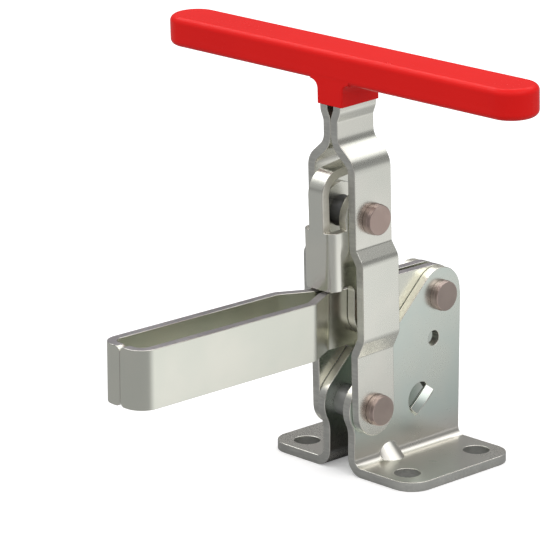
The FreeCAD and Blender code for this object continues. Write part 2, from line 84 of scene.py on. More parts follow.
def srgb(red: float, green: float, blue: float) -> Colour:
    """Turn a display colour into linear light.

    Args:
        red: red channel from 0 to 255.
        green: green channel from 0 to 255.
        blue: blue channel from 0 to 255.

    Returns:
        The three linear channels.
    """
    def one(value: float) -> float:
        """Linear light of one channel."""
        share = value / 255.0
        return share / 12.92 if share <= 0.04045 else ((share + 0.055) / 1.055) ** 2.4
    return one(red), one(green), one(blue)


class Graph:
    """A node tree with short calls for adding, wiring and setting nodes."""

    def __init__(self, tree: bpy.types.NodeTree) -> None:
        """Keep the tree that the calls work on."""
        self.tree = tree

    def node(self, kind: str, **values: object) -> bpy.types.Node:
        """Add a node and set its properties.

        Args:
            kind: the node's type name.
            **values: properties such as operation or data_type.

        Returns:
            The new node.
        """
        made = self.tree.nodes.new(kind)
        for name, value in values.items():
            setattr(made, name, value)
        return made

    def link(self, source: bpy.types.NodeSocket, target: bpy.types.NodeSocket) -> None:
        """Wire one socket to another."""
        self.tree.links.new(source, target)

    def feed(self, target: bpy.types.NodeSocket, value: object) -> None:
        """Wire a socket or set a number on an input.

        Args:
            target: the input socket.
            value: another socket, or a number, vector or colour.
        """
        if isinstance(value, bpy.types.NodeSocket):
            self.link(value, target)
        else:
            target.default_value = value

    def math(self, operation: str, first: object, second: object = 0.0,
             clamp: bool = False) -> bpy.types.NodeSocket:
        """A maths node.

        Args:
            operation: Blender's name of the operation.
            first: first input.
            second: second input, unused by one-sided operations.
            clamp: keep the result between 0 and 1.

        Returns:
            The result socket.
        """
        made = self.node("ShaderNodeMath", operation=operation, use_clamp=clamp)
        self.feed(made.inputs[0], first)
        self.feed(made.inputs[1], second)
        return made.outputs[0]

    def ramp(self, value: object, low: float, high: float, out_low: float = 0.0,
             out_high: float = 1.0) -> bpy.types.NodeSocket:
        """A smooth step from one range to another.

        Args:
            value: the input.
            low: input at which the step starts.
            high: input at which it ends.
            out_low: output before the step.
            out_high: output after the step.

        Returns:
            The result socket.
        """
        made = self.node("ShaderNodeMapRange", interpolation_type="SMOOTHSTEP")
        for index, item in enumerate((value, low, high, out_low, out_high)):
            self.feed(made.inputs[index], item)
        return made.outputs[0]

    def mix(self, share: object, first: object, second: object) -> bpy.types.NodeSocket:
        """Mix two colours.

        Args:
            share: how much of the second colour.
            first: the first colour.
            second: the second colour.

        Returns:
            The colour socket.
        """
        made = self.node("ShaderNodeMix", data_type="RGBA")
        self.feed(made.inputs[0], share)
        for index, colour in ((6, first), (7, second)):
            if not isinstance(colour, bpy.types.NodeSocket):
                colour = (*colour, 1.0)
            self.feed(made.inputs[index], colour)
        return made.outputs[2]

    def noise(self, vector: bpy.types.NodeSocket, scale: object, detail: float = 2.0,
              rough: float = 0.5) -> bpy.types.NodeSocket:
        """A noise texture.

        Args:
            vector: coordinates.
            scale: waves per metre, or a socket that gives it.
            detail: octaves.
            rough: how strong the finer octaves are.

        Returns:
            The factor socket.
        """
        made = self.node("ShaderNodeTexNoise")
        self.link(vector, made.inputs["Vector"])
        self.feed(made.inputs["Scale"], scale)
        made.inputs["Detail"].default_value = detail
        made.inputs["Roughness"].default_value = rough
        return made.outputs[0]

    def parts(self, space: str = "Object") -> bpy.types.NodeOutputs:
        """Split a texture coordinate.

        Args:
            space: which of the texture coordinates.

        Returns:
            Its X, Y and Z sockets.
        """
        made = self.node("ShaderNodeSeparateXYZ")
        self.link(self.node("ShaderNodeTexCoord").outputs[space], made.inputs[0])
        return made.outputs

    def relief(self, height: bpy.types.NodeSocket, strength: object,
               depth: float) -> bpy.types.NodeSocket:
        """Turn a height into a bent normal.

        Args:
            height: the height socket.
            strength: how much of it shows.
            depth: how deep it is.

        Returns:
            The normal socket.
        """
        made = self.node("ShaderNodeBump")
        self.feed(made.inputs["Strength"], strength)
        made.inputs["Distance"].default_value = depth
        self.link(height, made.inputs["Height"])
        return made.outputs[0]

    def mirror_ray(self, path: bpy.types.Node) -> bpy.types.NodeSocket:
        """1 for a ray that comes from a shiny or clear surface.

        Args:
            path: the light path node.

        Returns:
            The mask socket.
        """
        return self.math("ADD", path.outputs["Is Glossy Ray"], path.outputs["Is Transmission Ray"], True)


class Effects:
    """Shader groups that several finishes share, each built once."""

    def __init__(self) -> None:
        """Start with no group made."""
        self._made: dict[str, bpy.types.ShaderNodeTree] = {}

    def _group(self, name: str, inputs: dict[str, float], outputs: tuple[str, ...],
               fill: Callable[[Graph, bpy.types.Node, bpy.types.Node], None]) -> bpy.types.ShaderNodeTree:
        """Make a group, or return the one made before.

        Args:
            name: the group's name.
            inputs: input names with their defaults.
            outputs: output names.
            fill: builds the inside from the graph, the input node and the output node.

        Returns:
            The group's node tree.
        """
        if name not in self._made:
            tree = bpy.data.node_groups.new(name, "ShaderNodeTree")
            for label, value in inputs.items():
                socket = tree.interface.new_socket(label, in_out="INPUT", socket_type="NodeSocketFloat")
                socket.default_value = value
            for label in outputs:
                tree.interface.new_socket(label, in_out="OUTPUT", socket_type="NodeSocketFloat")
            graph = Graph(tree)
            fill(graph, graph.node("NodeGroupInput"), graph.node("NodeGroupOutput"))
            self._made[name] = tree
        return self._made[name]

    @staticmethod
    def place(graph: Graph, tree: bpy.types.ShaderNodeTree, **values: float) -> bpy.types.Node:
        """Put a group into a material with its own values.

        Args:
            graph: the material's graph.
            tree: the group.
            **values: inputs by name, with underscores for spaces.

        Returns:
            The group node.
        """
        made = graph.node("ShaderNodeGroup", node_tree=tree)
        for label, value in values.items():
            graph.feed(made.inputs[label.replace("_", " ")], value)
        return made

    def plated_grain(self) -> bpy.types.ShaderNodeTree:
        """Fine tumbled grain of plated sheet: roughness change, tone change and height."""
        def fill(graph: Graph, source: bpy.types.Node, target: bpy.types.Node) -> None:
            """Build the inside of the group."""
            where = graph.node("ShaderNodeTexCoord").outputs["Object"]
            fine = graph.noise(where, source.outputs["Grain Scale"], 3.0, 0.6)
            broad = graph.noise(where, source.outputs["Cloud Scale"], 2.0, 0.5)
            swing = graph.math("MULTIPLY", graph.math("SUBTRACT", fine, 0.5), source.outputs["Grain Swing"])
            cloud = graph.math("MULTIPLY", graph.math("SUBTRACT", broad, 0.5),
                               source.outputs["Cloud Swing"])
            rough = graph.math("ADD", graph.math("ADD", source.outputs["Roughness"], swing), cloud, True)
            graph.link(rough, target.inputs["Roughness"])
            graph.link(broad, target.inputs["Cloud"])
            graph.link(fine, target.inputs["Height"])
        return self._group("plated_grain", {"Roughness": 0.35, "Grain Scale": 2600.0, "Grain Swing": 0.12,
                                            "Cloud Scale": 60.0, "Cloud Swing": 0.03},
                           ("Roughness", "Cloud", "Height"), fill)

    def handling_marks(self) -> bpy.types.ShaderNodeTree:
        """Sparse thin scuffs from handling, as a mask."""
        def fill(graph: Graph, source: bpy.types.Node, target: bpy.types.Node) -> None:
            """Build the inside of the group."""
            where = graph.node("ShaderNodeTexCoord").outputs["Object"]
            turned = graph.node("ShaderNodeMapping")
            turned.inputs["Rotation"].default_value = (0.5, 0.3, 0.7)
            turned.inputs["Scale"].default_value = (1.0, 1.0, 14.0)
            graph.link(where, turned.inputs["Vector"])
            lines = graph.noise(turned.outputs[0], source.outputs["Line Scale"], 2.0, 0.6)
            spots = graph.noise(where, source.outputs["Spot Scale"], 2.0, 0.5)
            thin = graph.ramp(lines, 0.66, 0.74)
            here = graph.ramp(spots, 0.52, 0.66)
            lines_here = graph.math("MULTIPLY", thin, here)
            mask = graph.math("MULTIPLY", lines_here, source.outputs["Amount"], True)
            graph.link(mask, target.inputs["Mask"])
        return self._group("handling_marks", {"Line Scale": 320.0, "Spot Scale": 95.0, "Amount": 0.5},
                           ("Mask",), fill)

    def shear_marks(self) -> bpy.types.ShaderNodeTree:
        """Fine streaks that a punch leaves across a cut edge: tone and height."""
        def fill(graph: Graph, source: bpy.types.Node, target: bpy.types.Node) -> None:
            """Build the inside of the group."""
            where = graph.node("ShaderNodeTexCoord").outputs["Object"]
            stretched = graph.node("ShaderNodeMapping")
            stretched.inputs["Scale"].default_value = (0.12, 1.0, 1.0)
            graph.link(where, stretched.inputs["Vector"])
            streaks = graph.noise(stretched.outputs[0], source.outputs["Streak Scale"], 3.0, 0.65)
            patches = graph.noise(where, source.outputs["Patch Scale"], 2.0, 0.5)
            tone = graph.math("MULTIPLY", streaks, graph.ramp(patches, 0.3, 0.7, 0.6, 1.0), True)
            graph.link(tone, target.inputs["Tone"])
            graph.link(streaks, target.inputs["Height"])
        return self._group("shear_marks", {"Streak Scale": 1500.0, "Patch Scale": 160.0},
                           ("Tone", "Height"), fill)

    def turned_rings(self) -> bpy.types.ShaderNodeTree:
        """Fine concentric lines that a tool leaves on a turned end, about an axis along X."""
        def fill(graph: Graph, source: bpy.types.Node, target: bpy.types.Node) -> None:
            """Build the inside of the group."""
            where = graph.node("ShaderNodeTexCoord").outputs["Object"]
            _, y, z = graph.parts()
            across = graph.math("SUBTRACT", y, source.outputs["Centre Y"])
            above = graph.math("SUBTRACT", z, source.outputs["Centre Z"])
            square = graph.math("ADD", graph.math("MULTIPLY", across, across),
                                graph.math("MULTIPLY", above, above))
            radius = graph.math("SQRT", square)
            wave = graph.math("SINE", graph.math("MULTIPLY", radius, source.outputs["Rings"]))
            uneven = graph.noise(where, 900.0, 2.0, 0.5)
            graph.link(graph.math("MULTIPLY", wave, uneven), target.inputs["Height"])
            graph.link(radius, target.inputs["Radius"])
        return self._group("turned_rings", {"Centre Y": 0.0, "Centre Z": 0.0, "Rings": 26000.0},
                           ("Height", "Radius"), fill)

    def middle_band(self) -> bpy.types.ShaderNodeTree:
        """Mask of the length of a pin that lies near the mid-plane, soft at its two ends."""
        # The mask carries the pins' painted shade between the plates.
        def fill(graph: Graph, source: bpy.types.Node, target: bpy.types.Node) -> None:
            """Build the inside of the group."""
            away = graph.math("ABSOLUTE", graph.parts()[0])
            inner = source.outputs["Half Width"]
            outer = graph.math("ADD", inner, source.outputs["Blend"])
            graph.link(graph.ramp(away, inner, outer, 1.0, 0.0), target.inputs["Mask"])
        return self._group("middle_band", {"Half Width": 0.004, "Blend": 0.0004}, ("Mask",), fill)


EFFECTS = Effects()


def principled(name: str) -> tuple[bpy.types.Material, Graph, bpy.types.Node]:
    """A new material with one Principled shader wired to its output.

    Args:
        name: the material's name.

    Returns:
        The material, its graph and the shader node.
    """
    material = bpy.data.materials.new(name)
    material.use_nodes = True
    material.node_tree.nodes.clear()
    graph = Graph(material.node_tree)
    shader = graph.node("ShaderNodeBsdfPrincipled")
    graph.link(shader.outputs[0], graph.node("ShaderNodeOutputMaterial").inputs[0])
    return material, graph, shader


@dataclass(frozen=True)
class PlatedSheet:
    """Satin plated skin of stamped steel.

    Attributes:
        name: the material's name.
        colour: its usual tone.
        warm: tone of the cloudy patches.
        roughness: mean roughness.
        grain: how much the fine grain changes the roughness.
        marks: strength of the handling marks.
        bump: strength of the grain's relief.
        depth: depth of the grain's relief.
        low: tone near the floor, or None for the usual one.
        low_height: heights between which that tone fades out.
        worn_gain: how much lighter a handling mark is.
        worn_polish: how much smoother it is.
    """

    name: str
    colour: Colour
    warm: Colour
    roughness: float = 0.28
    grain: float = 0.03
    marks: float = 0.2
    bump: float = 0.006
    depth: float = 0.02 * MM
    low: Colour | None = None
    low_height: tuple[float, float] = (4.0 * MM, 13.0 * MM)
    worn_gain: float = 1.12
    worn_polish: float = 0.10

    def material(self) -> bpy.types.Material:
        """Build the finish.

        Returns:
            The material.
        """
        material, graph, shader = principled(self.name)
        grain = EFFECTS.place(graph, EFFECTS.plated_grain(), Roughness=self.roughness,
                              Grain_Swing=self.grain)
        marks = EFFECTS.place(graph, EFFECTS.handling_marks(), Amount=self.marks)
        tone = graph.mix(graph.ramp(grain.outputs["Cloud"], 0.35, 0.65), self.colour, self.warm)
        if self.low is not None:
            tone = graph.mix(graph.ramp(graph.parts()[2], *self.low_height), self.low, tone)
        worn = tuple(min(1.0, part * self.worn_gain) for part in self.colour)
        graph.link(graph.mix(marks.outputs["Mask"], tone, worn), shader.inputs["Base Color"])
        rough = graph.math("SUBTRACT", grain.outputs["Roughness"],
                           graph.math("MULTIPLY", marks.outputs["Mask"], self.worn_polish), True)
        graph.link(rough, shader.inputs["Roughness"])
        shader.inputs["Metallic"].default_value = 1.0
        graph.link(graph.relief(grain.outputs["Height"], self.bump, self.depth), shader.inputs["Normal"])
        return material


@dataclass(frozen=True)
class ShearedEdge:
    """Duller edge where the punch went through the sheet.

    Attributes:
        name: the material's name.
        colour: its usual tone.
        dark: tone between the streaks.
        roughness: mean roughness.
        swing: how much the fine grain changes the roughness.
        metallic: how metallic the surface is.
        bump: strength of the streaks' relief.
        depth: depth of the streaks' relief.
        streaks: streak values between which the dark tone turns into the usual one.
        top_highlight: painted highlight, a lighter tone where the edge faces up, or None for none.
        top_highlight_roughness: roughness under that painted highlight.
        top_highlight_bump: strength of the relief under that painted highlight.
        upward: upward parts of the normal between which the painted highlight sets in.
    """

    name: str
    colour: Colour
    dark: Colour
    roughness: float = 0.5
    swing: float = 0.12
    metallic: float = 0.9
    bump: float = 0.18
    depth: float = 0.03 * MM
    streaks: tuple[float, float] = (0.25, 0.6)
    top_highlight: Colour | None = None
    top_highlight_roughness: float = 0.28
    top_highlight_bump: float = 0.02
    upward: tuple[float, float] = (0.45, 0.65)

    def material(self) -> bpy.types.Material:
        """Build the finish.

        Returns:
            The material.
        """
        material, graph, shader = principled(self.name)
        marks = EFFECTS.place(graph, EFFECTS.shear_marks())
        grain = EFFECTS.place(graph, EFFECTS.plated_grain(), Roughness=self.roughness,
                              Grain_Swing=self.swing)
        tone = graph.mix(graph.ramp(marks.outputs["Tone"], *self.streaks), self.dark, self.colour)
        rough = grain.outputs["Roughness"]
        bump: object = self.bump
        # Painted highlight: where the edge faces up, its tone is lighter and its roughness and relief are
        # lower. This stands in for the bright sky that such an edge mirrors.
        if self.top_highlight is not None:
            facing_up = graph.ramp(graph.parts("Normal")[2], *self.upward)
            tone = graph.mix(facing_up, tone, self.top_highlight)
            kept = graph.math("MULTIPLY", rough, graph.math("SUBTRACT", 1.0, facing_up))
            rough = graph.math("ADD", kept, graph.math("MULTIPLY", facing_up, self.top_highlight_roughness), True)
            bump = graph.ramp(facing_up, 0.0, 1.0, self.bump, self.top_highlight_bump)
        graph.link(tone, shader.inputs["Base Color"])
        graph.link(rough, shader.inputs["Roughness"])
        shader.inputs["Metallic"].default_value = self.metallic
        graph.link(graph.relief(marks.outputs["Height"], bump, self.depth), shader.inputs["Normal"])
        return material


@dataclass(frozen=True)
class TurnedSteel:
    """Turned pin or bush with tool rings about its own axis.

    Attributes:
        name: the material's name.
        colour: its usual tone.
        dark: tone of the cloudy patches.
        centre: Y and Z of the axis.
        roughness: mean roughness.
        rings: strength of the tool rings.
        middle: painted shade, a tone of the length near the mid-plane, or None for the usual one.
        middle_half: half of that length.
        middle_dullness: how much rougher that length is.
        swing: how much the fine grain changes the roughness.
        cloud: scale of the cloudy patches.
        metallic: how metallic the surface is.
        depth: depth of the tool rings.
    """

    name: str
    colour: Colour
    dark: Colour
    centre: tuple[float, float]
    roughness: float = 0.42
    rings: float = 0.05
    middle: Colour | None = None
    middle_half: float = 4.0 * MM
    middle_dullness: float = 0.22
    swing: float = 0.14
    cloud: float = 140.0
    metallic: float = 0.85
    depth: float = 0.02 * MM

    def material(self) -> bpy.types.Material:
        """Build the finish.

        Returns:
            The material.
        """
        material, graph, shader = principled(self.name)
        rings = EFFECTS.place(graph, EFFECTS.turned_rings(), Centre_Y=self.centre[0],
                              Centre_Z=self.centre[1])
        grain = EFFECTS.place(graph, EFFECTS.plated_grain(), Roughness=self.roughness,
                              Grain_Swing=self.swing, Cloud_Scale=self.cloud)
        tone = graph.mix(graph.ramp(grain.outputs["Cloud"], 0.3, 0.7), self.dark, self.colour)
        rough = grain.outputs["Roughness"]
        if self.middle is not None:
            # Painted shade: the length between the plates gets the darker middle tone.
            band = EFFECTS.place(graph, EFFECTS.middle_band(), Half_Width=self.middle_half)
            tone = graph.mix(band.outputs["Mask"], tone, self.middle)
            dull = graph.math("MULTIPLY", band.outputs["Mask"], self.middle_dullness)
            rough = graph.math("ADD", rough, dull, True)
        graph.link(rough, shader.inputs["Roughness"])
        graph.link(tone, shader.inputs["Base Color"])
        shader.inputs["Metallic"].default_value = self.metallic
        graph.link(graph.relief(rings.outputs["Height"], self.rings, self.depth), shader.inputs["Normal"])
        return material


@dataclass(frozen=True)
class MouldedVinyl:
    """Smooth red vinyl with a soft sheen.

    Attributes:
        name: the material's name.
        colour: its usual tone.
        deep: tone of the cloudy patches.
        mirrored: tone that it shows in the plated steel.
        mirrored_share: how much of that tone.
        roughness: mean roughness.
        swing: how much the fine grain changes the roughness.
        scuffs: strength of the handling marks.
        scuff_dullness: how much rougher a mark is.
        gloss: strength of the sheen.
        bump: strength of the grain's relief.
        depth: depth of the grain's relief.
    """

    name: str
    colour: Colour
    deep: Colour
    mirrored: Colour
    mirrored_share: float = 0.85
    roughness: float = 0.25
    swing: float = 0.10
    scuffs: float = 0.25
    scuff_dullness: float = 0.15
    gloss: float = 0.12
    bump: float = 0.07
    depth: float = 0.04 * MM

    def material(self) -> bpy.types.Material:
        """Build the finish.

        Returns:
            The material.
        """
        material, graph, shader = principled(self.name)
        grain = EFFECTS.place(graph, EFFECTS.plated_grain(), Roughness=self.roughness, Grain_Scale=1700.0,
                              Grain_Swing=self.swing, Cloud_Scale=35.0)
        marks = EFFECTS.place(graph, EFFECTS.handling_marks(), Amount=self.scuffs, Line_Scale=210.0)
        tone = graph.mix(graph.ramp(grain.outputs["Cloud"], 0.3, 0.7), self.colour, self.deep)
        path = graph.node("ShaderNodeLightPath")
        seen = graph.math("MULTIPLY", path.outputs["Is Glossy Ray"], self.mirrored_share)
        tone = graph.mix(seen, tone, self.mirrored)
        graph.link(tone, shader.inputs["Base Color"])
        rough = graph.math("ADD", grain.outputs["Roughness"],
                           graph.math("MULTIPLY", marks.outputs["Mask"], self.scuff_dullness), True)
        graph.link(rough, shader.inputs["Roughness"])
        shader.inputs["Specular IOR Level"].default_value = self.gloss
        graph.link(graph.relief(grain.outputs["Height"], self.bump, self.depth), shader.inputs["Normal"])
        return material


@dataclass
class Dresser:
    """Turns a node's solid into a finished mesh with its hard corners broken.

    Attributes:
        node: the solid's node.
        piece: the new piece's name.
        body: the body it rides on.
        slot: the record's material slot; not used.
        work: how the piece is made.
        rim: how wide its corners are broken.
        corner: a sharper edge than this angle is a corner.
        shape: finer forms, worked into the mesh before its corners are broken.
        segments: facets across a broken corner.
        weld: points of the solid nearer than this are one.
        rim_weld: the same after the corners are broken.
        sliver: a thinner face is dissolved.
        flat: faces within this angle are joined.
        sharp: a sharper edge than this stays sharp in the shading.
        probe: how far below a face the metal's depth is measured.
        gauge_play: how far a skin's depth may be off the stock's thickness.
        slant: both sideways and upward parts of a bend's normal are larger than this.
        end_facing: how squarely a turned piece's end looks along its axis.
        stray: a point further off the solid than this share of the rim is settled.
    """

    node: str
    piece: str
    body: str
    slot: str
    work: Work
    rim: float
    corner: float = math.radians(28)
    shape: Callable[[bmesh.types.BMesh], None] | None = None
    segments: int = 2
    weld: float = WELD
    rim_weld: float = 0.004 * MM
    sliver: float = 0.001 * MM
    flat: float = math.radians(0.4)
    sharp: float = math.radians(50)
    probe: float = 0.02 * MM
    gauge_play: float = 0.08 * MM
    slant: float = 0.25
    end_facing: float = 0.9
    stray: float = 0.4

    def _mark_sheet(self, mesh: bmesh.types.BMesh) -> None:
        """Mark each face of a stamped piece as skin or cut edge by how deep the metal is behind it.

        Args:
            mesh: the piece, before its corners are broken.
        """
        tree = BVHTree.FromBMesh(mesh)
        for face in mesh.faces:
            middle, inward = face.calc_center_median(), -face.normal
            hit = tree.ray_cast(middle + inward * self.probe, inward, 1.0)
            deep = hit[3] if hit[0] is not None else 1.0
            bent = abs(inward.x) > self.slant and abs(inward.z) > self.slant
            skin = bent or abs(deep - STOCK) < self.gauge_play
            face.material_index = (Facing.SKIN if skin else Facing.CUT).value

    def _mark_ends(self, mesh: bmesh.types.BMesh) -> None:
        """Mark the faces of a turned piece that look along its axis as ends."""
        for face in mesh.faces:
            end = abs(face.normal.x) > self.end_facing
            face.material_index = (Turned.END if end else Turned.SIDE).value

    def _prepare(self) -> bmesh.types.BMesh:
        """Take the node's solid, work in its finer forms and mark its faces.

        Returns:
            The mesh, with its flat stretches joined into large faces.
        """
        mesh = bmesh.new()
        mesh.from_mesh(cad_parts[self.node].data)
        bmesh.ops.remove_doubles(mesh, verts=mesh.verts, dist=self.weld)
        bmesh.ops.dissolve_degenerate(mesh, dist=self.sliver, edges=mesh.edges)
        if self.shape is not None:
            self.shape(mesh)
        for face in mesh.faces:
            face.material_index = 0
        mesh.normal_update()
        if self.work is Work.STAMPED:
            self._mark_sheet(mesh)
        elif self.work is Work.TURNED:
            self._mark_ends(mesh)
        bmesh.ops.dissolve_limit(mesh, angle_limit=self.flat, verts=mesh.verts, edges=mesh.edges,
                                 delimit={"MATERIAL"})
        return mesh

    def _break_corners(self, mesh: bmesh.types.BMesh) -> None:
        """Round the piece's hard corners a little and weld what that leaves too small.

        Args:
            mesh: the prepared piece.
        """
        hard = [edge for edge in mesh.edges
                if len(edge.link_faces) == 2 and edge.calc_face_angle(0.0) > self.corner]
        solid = BVHTree.FromBMesh(mesh)
        bmesh.ops.bevel(mesh, geom=hard, offset=self.rim, offset_type="OFFSET", affect="EDGES",
                        segments=self.segments, profile=0.5, clamp_overlap=False,
                        material=-1 if self.work is Work.MOULDED else Facing.RIM.value)
        self._settle(mesh, solid)
        bmesh.ops.remove_doubles(mesh, verts=mesh.verts, dist=self.rim_weld)
        bmesh.ops.dissolve_degenerate(mesh, dist=self.sliver, edges=mesh.edges)

    def _settle(self, mesh: bmesh.types.BMesh, solid: BVHTree) -> None:
        """Bring points that a broken corner threw off the solid back onto it.

        Args:
            mesh: the piece with its corners broken.
            solid: the piece's surface before that.
        """
        strays = 0
        for vert in mesh.verts:
            place, _, _, gap = solid.find_nearest(vert.co)
            if gap > self.stray * self.rim:
                vert.co = place
                strays += 1
        if strays:
            log.info("%s: %d points settled", self.piece, strays)

    def _soften(self, made: bpy.types.Object) -> None:
        """Shade the broken corners smoothly into flat faces, and keep what is still sharp."""
        made.data.set_sharp_from_angle(angle=self.sharp)
        weighted = made.modifiers.new("flat_faces", "WEIGHTED_NORMAL")
        weighted.keep_sharp = True
        weighted.weight = 100
        graph = bpy.context.evaluated_depsgraph_get()
        finished = bpy.data.meshes.new_from_object(made.evaluated_get(graph), depsgraph=graph)
        made.modifiers.clear()
        made.data = finished

    def make(self, materials: list[bpy.types.Material]) -> bpy.types.Object:
        """Build the finished mesh from the node's solid.

        Args:
            materials: one material for each value of Facing or Turned, or a single one.

        Returns:
            The new object, riding on its body in the node's place.
        """
        mesh = self._prepare()
        self._break_corners(mesh)
        for face in mesh.faces:
            face.smooth = True
        data = bpy.data.meshes.new(self.piece)
        mesh.to_mesh(data)
        mesh.free()
        for material in materials:
            data.materials.append(material)
        made = bpy.data.objects.new(self.piece, data)
        bpy.context.scene.collection.objects.link(made)
        self._soften(made)
        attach(made, self.body)
        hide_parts(self.node)
        log.info("%s: %d faces", self.piece, len(made.data.polygons))
        return made


@dataclass
class Workshop:
    """Dresses stamped and turned pieces, and keeps the finishes that they share.

    Attributes:
        edge: finish of a stamped piece's cut edges, where it has none of its own.
        rim: finish of its broken corners.
    """

    edge: ShearedEdge = ShearedEdge("sheared_edge", srgb(214, 214, 208), srgb(196, 196, 191), 0.38)
    rim: PlatedSheet = PlatedSheet("rolled_rim", srgb(236, 235, 227), srgb(230, 228, 219), 0.26, 0.04, 0.0)
    _made: dict[str, bpy.types.Material] = field(default_factory=dict)

    def shared(self, finish: ShearedEdge | PlatedSheet | TurnedSteel) -> bpy.types.Material:
        """The material of a finish, made once.

        Args:
            finish: the finish.

        Returns:
            Its material.
        """
        if finish.name not in self._made:
            self._made[finish.name] = finish.material()
        return self._made[finish.name]

    def plate(self, node: str, piece: str, body: str, slot: str, skin: PlatedSheet,
              edge: ShearedEdge | None = None, rim: float = 0.16 * MM,
              shape: Callable[[bmesh.types.BMesh], None] | None = None) -> bpy.types.Object:
        """Dress one stamped piece.

        Args:
            node: the solid's node.
            piece: the new piece's name.
            body: the body it rides on.
            slot: the record's material slot; not used.
            skin: finish of the rolled faces.
            edge: finish of its cut edges, or None for the shared one.
            rim: how wide its corners are broken.
            shape: finer pressed forms, worked into the mesh before its corners are broken.

        Returns:
            The new object.
        """
        materials = [self.shared(skin), self.shared(edge or self.edge), self.shared(self.rim)]
        return Dresser(node, piece, body, slot, Work.STAMPED, rim, shape=shape).make(materials)

    def turned(self, node: str, piece: str, body: str, slot: str, side: TurnedSteel, end: TurnedSteel,
               rim: float = 0.10 * MM) -> bpy.types.Object:
        """Dress one turned piece.

        Args:
            node: the solid's node.
            piece: the new piece's name.
            body: the body it rides on.
            slot: the record's material slot; not used.
            side: finish of the round side.
            end: finish of the flat ends.
            rim: how wide its corners are broken.

        Returns:
            The new object.
        """
        materials = [self.shared(side), self.shared(end), self.shared(side)]
        return Dresser(node, piece, body, slot, Work.TURNED, rim, math.radians(35)).make(materials)


WORKSHOP = Workshop()


def dissolve_empty_faces(mesh: bmesh.types.BMesh, area: float = 1e-12, rounds: int = 8) -> None:
    """Join faces without area into their neighbours across their longest edges.

    Args:
        mesh: the mesh.
        area: a smaller face counts as empty, in square metres.
        rounds: how often to look again.
    """
    for _ in range(rounds):
        empty = [face for face in mesh.faces if face.calc_area() < area]
        longest = dict.fromkeys(max(face.edges, key=lambda edge: edge.calc_length()) for face in empty)
        bmesh.ops.dissolve_edges(mesh, edges=list(longest), use_verts=False)


def centre_of(node: str) -> tuple[float, float]:
    """Where a turned piece's axis crosses the mid-plane, read from the box of its solid.

    Args:
        node: the turned piece's node.

    Returns:
        Y and Z of the axis.
    """
    low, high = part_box(node)
    return (low.y + high.y) / 2, (low.z + high.z) / 2


